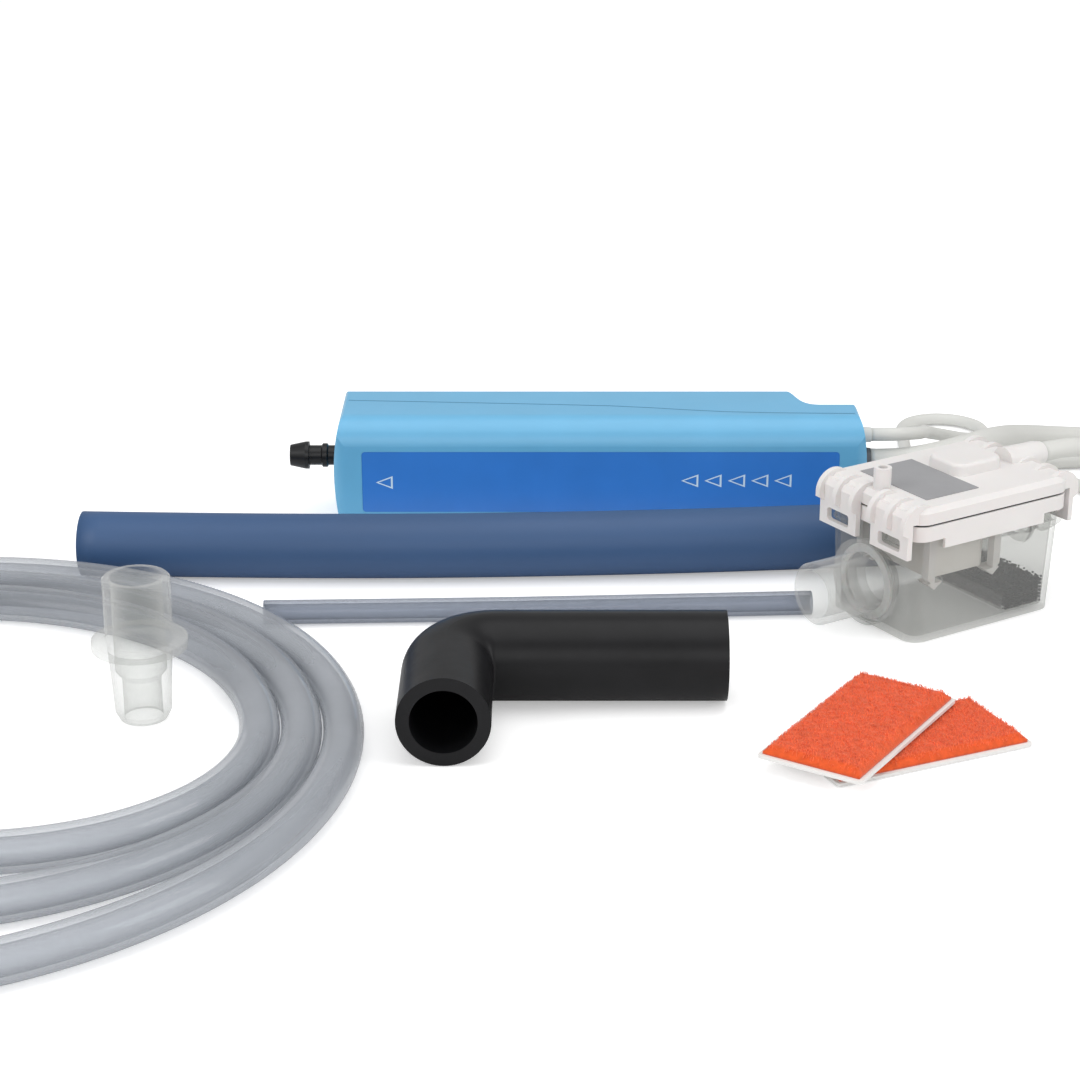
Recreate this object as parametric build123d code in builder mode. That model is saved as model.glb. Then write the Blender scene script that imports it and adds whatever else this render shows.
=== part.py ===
"""Mini condensate pump set: pump unit, float reservoir with its leads, and the loose fittings.

Frame: origin at the middle of the pump unit's underside, +X along the pump towards its lead
end, +Y to its rear, +Z up. Everything stands on the plane z = 0. Millimetres.
"""
import os
from math import cos, radians, sin, sqrt, tan

from build123d import *

os.makedirs("parts", exist_ok=True)

# Pump body
body_length = 145.0
body_depth = 31.0
body_height = 31.0
body_wall = 2.0
lead_end_depth = 16.0      # the body is this deep beside the leads
step_start_x = 48.0        # where the rear face leaves its full depth
step_length = 13.0
end_bulge = 2.2            # how far each end face stands out at mid height
plan_margin = 0.6          # the plan outline runs this far past the curved end faces
side_margin = 0.02
top_front_radius = 7.5
edge_radius = 3.5
parting_points = [(-80.0, 5.0), (-72.5, 4.6), (3.0, -0.6), (34.0, -5.8), (72.5, -7.4), (80.0, -7.6)]
label_length = 129.5
label_height = 17.3
label_middle_z = 14.05
label_thickness = 0.3
fit_gap = 0.05             # between pieces that are assembled on one another
screw_places = [(-60.0, 26.3), (-60.0, 5.2), (44.0, 26.3), (44.0, 5.2)]
screw_radius = 1.2
screw_head_radius = 2.2
screw_head_height = 1.8
screw_seat_y = 9.0
pillar_radius = 2.5

# Solenoid and flow path, on one axis along the pump
flow_z = body_height / 2 + 1.0
tube_radius = 5.5          # core tube, outside
tube_wall = 0.6
tube_left_x = -44.0
tube_length = 72.0
bobbin_left_x = -26.0
bobbin_length = 36.0
bobbin_flange = 1.5
bobbin_hub_wall = 1.0
winding_radius = body_height / 2 - 3.5
yoke_thickness = 2.0
yoke_width = body_depth - 9.0
piston_length = 34.0
piston_gap = 0.05
piston_bore_radius = 2.0
spring_wire_radius = 0.35
fitting_radius = 7.0
socket_radius = 8.0
socket_depth = 7.0
seat_thickness = 3.0
passage_radius = 1.8
valve_chamber_radius = 4.6
valve_chamber_length = 12.0
valve_disc_radius = 3.8
valve_disc_thickness = 1.5
ring_section_radius = 0.9

# Hose barb for tube of 6 mm bore
barb_length = 13.0
barb_neck_radius = 2.75
barb_ridge_radius = 3.8
barb_tip_radius = 2.9
barb_ridge_length = 5.2
barb_bead_radius = 3.3
barb_land = 1.0

# Lead end of the pump
end_fitting_y = -7.5
inlet_z = 8.0
inlet_tube_radius = 4.0
mains_exit_z = body_height / 2 + 2.0
alarm_exit_z = body_height - 6.0
sensor_exit = (57.0, 9.0, 13.0)   # on the rear step
collar_length = 1.5

# Leads
mains_diameter = 6.6
sensor_diameter = 5.0
alarm_diameter = 3.6

# Reservoir, modelled in its own turned frame
tank_centre = (85.0, -68.6)
tank_turn = 32.3
tank_bottom = (46.0, 32.0)
tank_top = (48.0, 34.0)
tank_height = 30.2
tank_wall = 1.3
tank_corner = 4.0
lid_size = (50.0, 36.0)
lid_corner = 4.5
band_height = 3.8
band_gap = 0.15
skirt_depth = 2.5
skirt_length = 32.0
web_thickness = 0.8
seal_thickness = 0.5
cover_height = 4.0
cover_wall = 1.6
cover_roof = 1.5
clip_width = 14.0
clip_offset = 9.75
clip_gap = 0.3
clip_thickness = 1.4
clip_reach = 8.5
clip_rib_width = 1.5
spigot_z = 11.9
spigot_radius = 7.8
spigot_bore_radius = 6.0
spigot_length = 15.0
spigot_neck_radius = 6.9
spigot_neck_length = 4.4
flange_radius = 10.85
flange_thickness = 2.0
outlet_z = 17.5
outlet_radius = 2.8
outlet_leg_u = 13.2
float_size = (18.0, 22.0, 10.6)
float_middle_u = -5.3
float_clearance = 16.2      # float's underside below the tank's rim
leg_gap = 0.4
leg_size = 2.2
vent_radius = 2.2
vent_height = 5.5
board_thickness = 1.6

# Loose fittings
hose_radius = 8.4
hose_bore_radius = 6.9
breather_radius = 3.0
breather_bore_radius = 2.0
discharge_radius = 4.5
elbow_radius = 10.5
elbow_bore_radius = 7.5
elbow_corner_radius = 11.0
pad_size = (50.0, 25.0)
pad_thickness = 2.6
backing_thickness = 0.8


def beam(origin, direction):
    """Plane whose x axis runs along direction from origin and whose y axis is up."""
    return Plane(origin=origin, x_dir=direction, z_dir=Vector(*direction).cross(Vector(0, 0, 1)))


def turned(plane, outline, mode=Mode.ADD):
    """Turn a half section of (distance, radius) points about the plane's x axis."""
    with BuildSketch(plane) as section:
        Polygon(*outline, align=None)
    revolve(section.sketch, axis=Axis(plane.origin, plane.x_dir), mode=mode)


def ring(plane, near, far, inner, outer):
    """Plain ring between two distances along the plane's x axis."""
    turned(plane, [(near, inner), (far, inner), (far, outer), (near, outer)])


def barb_outline(inward, bore):
    """Half section of a hose barb that starts inward of its wall and points outwards."""
    ridge = barb_length - barb_ridge_length
    return [
        (-inward, bore), (barb_length, bore), (barb_length, barb_tip_radius),
        (ridge + barb_land, barb_ridge_radius), (ridge, barb_ridge_radius), (ridge, barb_neck_radius), (4.4, barb_neck_radius),
        (4.0, barb_bead_radius), (2.8, barb_bead_radius), (2.4, barb_neck_radius),
        (-inward, barb_neck_radius),
    ]


def corner_radii(route):
    """Arc radius at each inner point: 0.45 of the shorter run over the tangent of half the turn."""
    radii = []
    for before, here, after in zip(route, route[1:], route[2:]):
        run_in = Vector(*here) - Vector(*before)
        run_out = Vector(*after) - Vector(*here)
        half_turn = radians(run_in.get_angle(run_out)) / 2
        radii.append(0.45 * min(run_in.length, run_out.length) / tan(half_turn))
    return radii


def laid_tube(name, route, radius, bore=0.0):
    """Tube along straight runs joined by tangent arcs; prints its tightest arc and its volume test."""
    radii = corner_radii(route)
    with BuildLine() as line:
        FilletPolyline(*route, radius=radii)
    path = line.wires()[0]
    with BuildSketch(Plane(origin=path @ 0, z_dir=path % 0)) as section:
        Circle(radius)
        if bore:
            Circle(bore, mode=Mode.SUBTRACT)
    sweep(section.sketch, path=path)
    print(f"{name}: radii {[round(r, 1) for r in radii]}, length {path.length:.1f},",
          f"tightest {min(radii) / (2 * radius):.1f} diameters")
    return section.sketch.area * path.length


def wound_ring(centre, inner, outer, height):
    """Closed solid of a coil's outer shape, lying flat, with rounded edges."""
    with BuildSketch(Plane.XY) as flat:
        with Locations(centre):
            Circle(outer)
            Circle(inner, mode=Mode.SUBTRACT)
    extrude(flat.sketch, amount=height)


# ---------------------------------------------------------------- pump body

half_length = body_length / 2
half_depth = body_depth / 2
left_axis = beam((-half_length, 0, flow_z), (-1, 0, 0))
flow_axis = beam((0, 0, flow_z), (1, 0, 0))
inlet_axis = beam((half_length, end_fitting_y, inlet_z), (1, 0, 0))


def pump_block(inset):
    """The pump's closed outer form, moved inwards by inset on every side."""
    left, right = inset - half_length, half_length - inset
    front, rear = inset - half_depth, half_depth - inset
    low, high = inset, body_height - inset
    end_rear = lead_end_depth - half_depth - inset
    step_start = step_start_x - inset
    step_end = step_start + step_length
    round_edge = edge_radius - inset / 2
    with BuildPart() as block:
        with BuildSketch() as plan:
            with BuildLine():
                Polyline((step_start, rear), (left - plan_margin, rear), (left - plan_margin, front),
                         (right + plan_margin, front), (right + plan_margin, end_rear),
                         (step_end, end_rear))
                Bezier((step_end, end_rear), (step_start + 0.3 * step_length, end_rear),
                       (step_end - 0.3 * step_length, rear), (step_start, rear))
            make_face()
            ends = plan.vertices().filter_by(lambda v: v.X < left or v.X > right)
            fillet(ends, round_edge + plan_margin)
        extrude(amount=body_height)
        with BuildSketch(Plane.YZ.offset(-half_length - 1)) as side:
            with Locations((0, body_height / 2)):
                Rectangle(rear - front + 2 * side_margin, high - low)
            fillet(side.vertices().group_by(Axis.Y)[-1].sort_by(Axis.X)[0], top_front_radius - inset)
            square = side.vertices().filter_by(lambda v: v.X > rear or v.Y < low + side_margin)
            fillet(square, round_edge)
        extrude(amount=body_length + 2, mode=Mode.INTERSECT)
        with BuildSketch(Plane.XZ.offset(-half_depth - 1)) as face:
            with BuildLine():
                Line((left + end_bulge, low - 1), (right - end_bulge, low - 1))
                ThreePointArc((right - end_bulge, low - 1), (right, body_height / 2),
                              (right - end_bulge, high + 1))
                Line((right - end_bulge, high + 1), (left + end_bulge, high + 1))
                ThreePointArc((left + end_bulge, high + 1), (left, body_height / 2),
                              (left + end_bulge, low - 1))
            make_face()
            fillet(face.vertices(), round_edge)
        extrude(amount=body_depth + 2, mode=Mode.INTERSECT)
    return block.part


def end_recess(z, radius):
    """How far the curved end wall stands back, inside, over a disc of this radius at height z."""
    reach = abs(z - body_height / 2) + radius
    return end_bulge * (reach / (body_height / 2 - body_wall)) ** 2


def front_region():
    """Plan of everything in front of the curved parting line."""
    with BuildSketch() as region:
        with BuildLine():
            Spline(*parting_points)
            Polyline(parting_points[-1], (parting_points[-1][0], -body_depth),
                     (parting_points[0][0], -body_depth), parting_points[0])
        make_face()
    return region.sketch


outer_block = pump_block(0.0)
inner_block = pump_block(body_wall)
mains_gland_radius = mains_diameter / 2 + 0.5
sensor_gland_radius = sensor_diameter / 2 + 0.5
alarm_gland_radius = alarm_diameter / 2 + 0.5

with BuildPart() as casing:
    add(outer_block)
    add(inner_block, mode=Mode.SUBTRACT)
    with BuildSketch(Plane.XZ.offset(half_depth - body_wall / 2)):
        with Locations(*screw_places):
            Circle(pillar_radius)
    extrude(amount=body_wall - body_depth)
    add(outer_block, mode=Mode.INTERSECT)
    with BuildSketch(Plane.XZ.offset(screw_seat_y)):
        with Locations(*screw_places):
            Circle(screw_radius + fit_gap)
    extrude(amount=-2 * screw_seat_y, mode=Mode.SUBTRACT)
    with BuildSketch(Plane.XZ.offset(-screw_seat_y)):
        with Locations(*screw_places):
            Circle(screw_head_radius + fit_gap)
    extrude(amount=-half_depth, mode=Mode.SUBTRACT)
    turned(left_axis, [(-2 * body_wall, 0), (body_wall, 0), (body_wall, barb_neck_radius + fit_gap),
                       (-2 * body_wall, barb_neck_radius + fit_gap)], Mode.SUBTRACT)
    for hole_z, hole_radius in ((inlet_z, barb_neck_radius), (mains_exit_z, mains_gland_radius),
                                (alarm_exit_z, alarm_gland_radius)):
        with BuildSketch(Plane.YZ.offset(half_length - 2 * body_wall)):
            with Locations((end_fitting_y, hole_z)):
                Circle(hole_radius + fit_gap)
        extrude(amount=3 * body_wall, mode=Mode.SUBTRACT)
    with BuildSketch(Plane.YZ.offset(step_start_x - 2 * body_wall)):
        with Locations((sensor_exit[1], sensor_exit[2])):
            Circle(sensor_gland_radius + fit_gap)
    extrude(amount=step_length + 2 * body_wall, mode=Mode.SUBTRACT)
    with BuildSketch(Plane.XZ.offset(half_depth)):
        with Locations((0, label_middle_z)):
            RectangleRounded(label_length, label_height, 1.0)
    extrude(amount=-label_thickness, mode=Mode.SUBTRACT)

with BuildPart() as front_shell:
    add(casing.part)
    extrude(front_region(), amount=body_height, mode=Mode.INTERSECT)

with BuildPart() as rear_shell:
    add(casing.part)
    extrude(front_region(), amount=body_height, mode=Mode.SUBTRACT)

with BuildPart() as front_label:
    with BuildSketch(Plane.XZ.offset(half_depth - label_thickness)):
        with Locations((0, label_middle_z)):
            RectangleRounded(label_length - 2 * fit_gap, label_height - 2 * fit_gap, 1.0 - fit_gap)
    extrude(amount=label_thickness)

with BuildPart() as shell_screws:
    with BuildSketch(Plane.XZ.offset(screw_seat_y - 0.3)):
        with Locations(*screw_places):
            Circle(screw_radius)
    extrude(amount=0.3 - 2 * screw_seat_y)
    with BuildSketch(Plane.XZ.offset(-screw_seat_y)):
        with Locations(*screw_places):
            Circle(screw_head_radius)
    extrude(amount=-screw_head_height)
    with BuildSketch(Plane.XZ.offset(-screw_seat_y - screw_head_height)):
        with Locations(*screw_places):
            Rectangle(2.6, 0.6)
            Rectangle(0.6, 2.6)
    extrude(amount=0.8, mode=Mode.SUBTRACT)

# ---------------------------------------------------------------- pump mechanism

tube_bore_radius = tube_radius - tube_wall
tube_right_x = tube_left_x + tube_length
seat_left_x = tube_left_x - seat_thickness - 4.0
chamber_left_x = seat_left_x - valve_chamber_length
inner_left_x = body_wall - half_length
bobbin_right_x = bobbin_left_x + bobbin_length
bobbin_middle_x = bobbin_left_x + bobbin_length / 2
hub_inner = tube_radius + fit_gap
hub_outer = hub_inner + bobbin_hub_wall
piston_left_x = bobbin_middle_x - piston_length / 2
piston_right_x = piston_left_x + piston_length
piston_radius = tube_bore_radius - piston_gap
outlet_flange_x = inner_left_x + end_recess(flow_z, fitting_radius)

with BuildPart() as outlet_fitting:
    turned(left_axis, barb_outline(2 * body_wall, passage_radius))
    turned(flow_axis, [
        (outlet_flange_x, passage_radius), (chamber_left_x, passage_radius),
        (chamber_left_x, valve_chamber_radius), (seat_left_x, valve_chamber_radius),
        (seat_left_x, fitting_radius), (chamber_left_x, fitting_radius),
        (chamber_left_x, barb_neck_radius + 1.5), (outlet_flange_x + 2.0, barb_neck_radius + 1.5),
        (outlet_flange_x + 2.0, fitting_radius), (outlet_flange_x, fitting_radius),
    ])

with BuildPart() as outlet_valve_seat:
    turned(flow_axis, [
        (seat_left_x, passage_radius), (tube_left_x, passage_radius), (tube_left_x, tube_radius + fit_gap),
        (tube_left_x + 3.0, tube_radius + fit_gap), (tube_left_x + 3.0, tube_radius + 1.9),
        (tube_left_x + 5.0, tube_radius + 1.9), (tube_left_x + 5.0, tube_radius + fit_gap),
        (tube_left_x + socket_depth, tube_radius + fit_gap), (tube_left_x + socket_depth, socket_radius),
        (seat_left_x, socket_radius),
    ])

with BuildPart() as outlet_valve:
    turned(flow_axis, [
        (seat_left_x, 0), (seat_left_x, valve_disc_radius),
        (seat_left_x - valve_disc_thickness, valve_disc_radius), (seat_left_x - valve_disc_thickness, 1.2),
        (seat_left_x - 4.0, 1.0), (seat_left_x - 4.0, 0),
    ])


def spring(start_x, end_x, coil_radius, turns):
    """Round-wire compression spring on the flow axis."""
    pitch = (end_x - start_x - 2 * spring_wire_radius) / turns
    with BuildLine() as line:
        Helix(pitch=pitch, height=pitch * turns, radius=coil_radius,
              center=(start_x + spring_wire_radius, 0, flow_z), direction=(1, 0, 0))
    path = line.wires()[0]
    with BuildSketch(Plane(origin=path @ 0, z_dir=path % 0)) as wire:
        RegularPolygon(spring_wire_radius, 8)
    sweep(wire.sketch, path=path, is_frenet=True)


with BuildPart() as outlet_valve_spring:
    spring(chamber_left_x, seat_left_x - valve_disc_thickness, 2.6, 5)

with BuildPart() as return_spring:
    spring(tube_left_x, piston_left_x, 4.0, 6)

with BuildPart() as buffer_spring:
    spring(piston_right_x, tube_right_x, 4.0, 6)


def o_ring(x):
    """Rubber ring that seals the core tube in a socket, centred at x."""
    with BuildSketch(flow_axis) as section:
        with Locations((x, tube_radius + fit_gap + ring_section_radius)):
            Circle(ring_section_radius)
    revolve(section.sketch, axis=Axis(flow_axis.origin, flow_axis.x_dir))


with BuildPart() as outlet_o_ring:
    o_ring(tube_left_x + 4.0)

with BuildPart() as inlet_o_ring:
    o_ring(tube_right_x - 4.0)

with BuildPart() as core_tube:
    ring(flow_axis, tube_left_x, tube_right_x, tube_bore_radius, tube_radius)

with BuildPart() as solenoid_bobbin:
    turned(flow_axis, [
        (bobbin_left_x, hub_inner), (bobbin_right_x, hub_inner), (bobbin_right_x, winding_radius + 0.4),
        (bobbin_right_x - bobbin_flange, winding_radius + 0.4), (bobbin_right_x - bobbin_flange, hub_outer),
        (bobbin_left_x + bobbin_flange, hub_outer), (bobbin_left_x + bobbin_flange, winding_radius + 0.4),
        (bobbin_left_x, winding_radius + 0.4),
    ])

with BuildPart() as coil_winding:
    ring(flow_axis, bobbin_left_x + bobbin_flange, bobbin_right_x - bobbin_flange,
         hub_outer + fit_gap, winding_radius)

yoke_floor = flow_z - winding_radius - 0.4 - yoke_thickness
yoke_top = body_height - body_wall - 2.4
with BuildPart() as yoke:
    for plate_x in (bobbin_left_x - yoke_thickness, bobbin_right_x):
        with BuildSketch(Plane.YZ.offset(plate_x)):
            with Locations((0, (yoke_floor + yoke_top) / 2)):
                Rectangle(yoke_width, yoke_top - yoke_floor)
            with Locations((0, flow_z)):
                Circle(tube_radius + fit_gap, mode=Mode.SUBTRACT)
        extrude(amount=yoke_thickness)
    with BuildSketch(Plane.XY.offset(yoke_floor)):
        with Locations((bobbin_middle_x, 0)):
            Rectangle(bobbin_length, yoke_width)
    extrude(amount=yoke_thickness)

inner_half_depth = half_depth - body_wall
with BuildPart() as yoke_pads:
    for pad_side in (-1, 1):
        for plate_x in (bobbin_left_x - yoke_thickness / 2, bobbin_right_x + yoke_thickness / 2):
            pad_depth = inner_half_depth - yoke_width / 2
            with BuildSketch(Plane.XY.offset(8.0)):
                with Locations((plate_x, pad_side * (inner_half_depth - pad_depth / 2))):
                    Rectangle(yoke_thickness, pad_depth)
            extrude(amount=12.0)

with BuildPart() as piston:
    ring(flow_axis, piston_left_x, piston_right_x, piston_bore_radius, piston_radius)

with BuildPart() as inlet_fitting:
    turned(flow_axis, [
        (tube_right_x - socket_depth, tube_radius + fit_gap), (tube_right_x - 5.0, tube_radius + fit_gap),
        (tube_right_x - 5.0, tube_radius + 1.9), (tube_right_x - 3.0, tube_radius + 1.9),
        (tube_right_x - 3.0, tube_radius + fit_gap), (tube_right_x, tube_radius + fit_gap),
        (tube_right_x, passage_radius), (tube_right_x + 14.0, passage_radius),
        (tube_right_x + 14.0, barb_neck_radius), (tube_right_x + 4.0, barb_neck_radius),
        (tube_right_x + 4.0, socket_radius), (tube_right_x - socket_depth, socket_radius),
    ])

inlet_nipple_length = 10.0
inlet_flange_back = body_wall + end_recess(inlet_z, barb_neck_radius + 1.0)
with BuildPart() as inlet_barb:
    turned(inlet_axis, barb_outline(body_wall + inlet_nipple_length, passage_radius))
    ring(inlet_axis, -inlet_flange_back - 1.0, -inlet_flange_back, passage_radius, barb_neck_radius + 1.0)

inlet_drop_x = half_length - inlet_flange_back - 13.0
inlet_route = [
    (tube_right_x + 4.5, 0, flow_z), (inlet_drop_x - 6.5, 0, flow_z), (inlet_drop_x, end_fitting_y, inlet_z),
    (half_length - inlet_flange_back - 1.0, end_fitting_y, inlet_z),
]
with BuildPart() as inlet_tube:
    with BuildLine() as inlet_line:
        FilletPolyline(*inlet_route, radius=5.5)
    with BuildSketch(Plane(origin=inlet_route[0], z_dir=(1, 0, 0))):
        Circle(inlet_tube_radius)
        Circle(barb_neck_radius + fit_gap, mode=Mode.SUBTRACT)
    sweep(path=inlet_line.wires()[0])

with BuildPart() as thermal_cutout:
    with BuildSketch(Plane.YZ.offset(bobbin_right_x + yoke_thickness)):
        with Locations((9.2, flow_z + 7.5)):
            RectangleRounded(5.0, 7.0, 1.5)
    extrude(amount=10.0)

board_left_x = 14.0
board_length = 26.0
with BuildPart() as control_board:
    with BuildSketch(Plane.XZ.offset(inner_half_depth - board_thickness)):
        with Locations((board_left_x + board_length / 2, 13.5)):
            Rectangle(board_length, 17.0)
    extrude(amount=board_thickness)
    with BuildSketch(Plane.XZ.offset(inner_half_depth - board_thickness)):
        with Locations((board_left_x + 6.0, 8.5)):
            Circle(2.5)
        with Locations((board_left_x + 17.0, 17.0)):
            Rectangle(10.0, 3.0)
    extrude(amount=-2.4)


def end_gland(z, gland_radius):
    """Rubber bush in the lead end's wall, with a flange inside and a collar outside."""
    flange_back = body_wall + end_recess(z, gland_radius + 0.5)
    turned(beam((half_length, end_fitting_y, z), (1, 0, 0)), [
        (-flange_back - 1.2, 0), (-flange_back - 1.2, gland_radius + 0.5), (-flange_back, gland_radius + 0.5),
        (-flange_back, gland_radius), (collar_length, gland_radius - 0.3), (collar_length, 0),
    ])


with BuildPart() as mains_gland:
    end_gland(mains_exit_z, mains_gland_radius)

with BuildPart() as alarm_gland:
    end_gland(alarm_exit_z, alarm_gland_radius)

boot_length = 12.0
with BuildPart() as sensor_gland:
    turned(beam(sensor_exit, (1, 0, 0)), [
        (-9.0, 0), (-9.0, sensor_gland_radius), (boot_length - 10.0, sensor_gland_radius),
        (boot_length, sensor_diameter / 2 + 0.2), (boot_length, 0),
    ])

# ---------------------------------------------------------------- reservoir

tank_plane = Plane(origin=(tank_centre[0], tank_centre[1], 0),
                   x_dir=(cos(radians(tank_turn)), sin(radians(tank_turn)), 0), z_dir=(0, 0, 1))
along = tank_plane.x_dir
across = tank_plane.y_dir
inner_half_length = tank_bottom[0] / 2 - tank_wall
band_bottom_z = tank_height + web_thickness - band_height
seal_bottom_z = tank_height + web_thickness
cover_bottom_z = seal_bottom_z + seal_thickness
cover_top_z = cover_bottom_z + cover_height
wall_face_u = tank_top[0] / 2 + 0.4
clip_foot_z = cover_bottom_z - clip_reach
catch_z = clip_foot_z + 1.4
catch_u = lid_size[0] / 2
float_bottom_z = tank_height - float_clearance


def tank_point(u, v, z):
    """Point of the reservoir's own frame."""
    return tank_plane.from_local_coords(Vector(u, v, z))


near_axis = beam(tank_point(-wall_face_u, 0, spigot_z), tuple(-along))
far_axis = beam(tank_point(wall_face_u, 0, outlet_z), tuple(along))


def lengthwise_plane(v):
    """Upright plane along the reservoir, at v across it; its x is u and its y is z."""
    return Plane(origin=tank_point(0, v, 0), x_dir=along, z_dir=-across)


with BuildPart() as tank:
    with BuildSketch(tank_plane):
        RectangleRounded(*tank_bottom, tank_corner)
    with BuildSketch(tank_plane.offset(tank_height)):
        RectangleRounded(*tank_top, tank_corner)
    loft()
    turned(near_axis, [(-2.0, 0), (0, 0), (0, flange_radius - 0.4), (-2.0, flange_radius - 0.4)])
    turned(far_axis, [(-2.0, 0), (0, 0), (0, 5.5), (-2.0, 5.5)])
    with BuildSketch(tank_plane.offset(tank_wall)):
        RectangleRounded(tank_bottom[0] - 2 * tank_wall, tank_bottom[1] - 2 * tank_wall,
                         tank_corner - tank_wall)
    with BuildSketch(tank_plane.offset(tank_height)):
        RectangleRounded(tank_top[0] - 2 * tank_wall, tank_top[1] - 2 * tank_wall, tank_corner - tank_wall)
    loft(mode=Mode.SUBTRACT)
    turned(near_axis, [(-5.0, 0), (1, 0), (1, spigot_neck_radius + fit_gap),
                       (-5.0, spigot_neck_radius + fit_gap)], Mode.SUBTRACT)
    turned(far_axis, [(-5.0, 0), (1, 0), (1, outlet_radius + fit_gap),
                      (-5.0, outlet_radius + fit_gap)], Mode.SUBTRACT)
    with BuildSketch(tank_plane.offset(tank_wall)):
        with Locations((8.0, 0)):
            Rectangle(1.2, 26.0)
    extrude(amount=4.0)
    for end in (-1, 1):
        for catch_v in (-clip_offset, clip_offset):
            with BuildSketch(lengthwise_plane(catch_v)):
                Polygon((end * (catch_u - 1.7), catch_z), (end * catch_u, catch_z + 0.4),
                        (end * catch_u, catch_z + 1.2), (end * (catch_u - 1.4), catch_z + 2.6), align=None)
            extrude(amount=3.7, both=True)

with BuildPart() as inlet_spigot:
    turned(near_axis, [
        (-spigot_neck_length, spigot_bore_radius), (flange_thickness + spigot_length, spigot_bore_radius),
        (flange_thickness + spigot_length, spigot_radius - 0.5),
        (flange_thickness + spigot_length - 0.5, spigot_radius), (flange_thickness, spigot_radius),
        (flange_thickness, flange_radius), (0, flange_radius), (0, 9.6), (0.8, 9.6), (0.8, 7.4),
        (0, 7.4), (0, spigot_neck_radius), (-spigot_neck_length, spigot_neck_radius),
    ])

with BuildPart() as spigot_seal:
    ring(near_axis, 0, 0.8, 7.4 + fit_gap, 9.6 - fit_gap)

with BuildPart() as tank_outlet:
    turned(far_axis, barb_outline(wall_face_u - outlet_leg_u, passage_radius))
    ring(far_axis, 0, 1.5, passage_radius, 5.0)
    with BuildSketch(Plane(origin=tank_point(outlet_leg_u, 0, 9.0))):
        Circle(2.3)
    extrude(amount=outlet_z - 9.0)
    with Locations(Location(tank_point(outlet_leg_u, 0, outlet_z))):
        Sphere(barb_neck_radius)
    with BuildSketch(Plane(origin=tank_point(outlet_leg_u, 0, 9.0))):
        Circle(1.4)
    extrude(amount=outlet_z - 9.0, mode=Mode.SUBTRACT)

with BuildPart() as filter_foam:
    with BuildSketch(tank_plane.offset(tank_wall)):
        with Locations(((8.9 + 21.0) / 2, 0)):
            RectangleRounded(21.0 - 8.9, 28.6, 1.5)
    extrude(amount=7.4)

float_half_u = float_size[0] / 2
float_half_v = float_size[1] / 2
with BuildPart() as lid_frame:
    with BuildSketch(tank_plane.offset(band_bottom_z)):
        RectangleRounded(*lid_size, lid_corner)
    extrude(amount=band_height)
    with BuildSketch(tank_plane.offset(band_bottom_z - skirt_depth)):
        Rectangle(skirt_length, lid_size[1])
    extrude(amount=skirt_depth)
    with BuildSketch(tank_plane.offset(band_bottom_z - skirt_depth)):
        RectangleRounded(tank_top[0] + 2 * band_gap, tank_top[1] + 2 * band_gap, tank_corner)
    extrude(amount=skirt_depth + band_height - web_thickness, mode=Mode.SUBTRACT)
    with BuildSketch(tank_plane.offset(tank_height)):
        RectangleRounded(tank_top[0] - 8.0, tank_top[1] - 9.0, 3.0)
    extrude(amount=web_thickness, mode=Mode.SUBTRACT)
    for leg_side in (-1, 1):
        leg_inner = float_middle_u + leg_side * (float_half_u + leg_gap)
        leg_outer = leg_inner + leg_side * leg_size
        foot_inner = leg_inner - leg_side * 2.4
        for leg_v in (-1, 1):
            with BuildSketch(lengthwise_plane(leg_v * 12.6)):
                Polygon((leg_outer, tank_height + 0.2), (leg_inner, tank_height + 0.2),
                        (leg_inner, float_bottom_z - 1.2), (leg_outer, float_bottom_z + 0.8), align=None)
            extrude(amount=1.1, both=True)
            with BuildSketch(lengthwise_plane(leg_v * 11.6)):
                Polygon((leg_outer, float_bottom_z - 0.2), (foot_inner, float_bottom_z - 0.2),
                        (leg_inner, float_bottom_z - 2.0), align=None)
            extrude(amount=2.1, both=True)

with BuildPart() as lid_seal:
    with BuildSketch(tank_plane.offset(seal_bottom_z)):
        RectangleRounded(lid_size[0] - 0.8, lid_size[1] - 0.8, lid_corner - 0.4)
        RectangleRounded(lid_size[0] - 8.0, lid_size[1] - 9.0, 3.0, mode=Mode.SUBTRACT)
    extrude(amount=seal_thickness)

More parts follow.
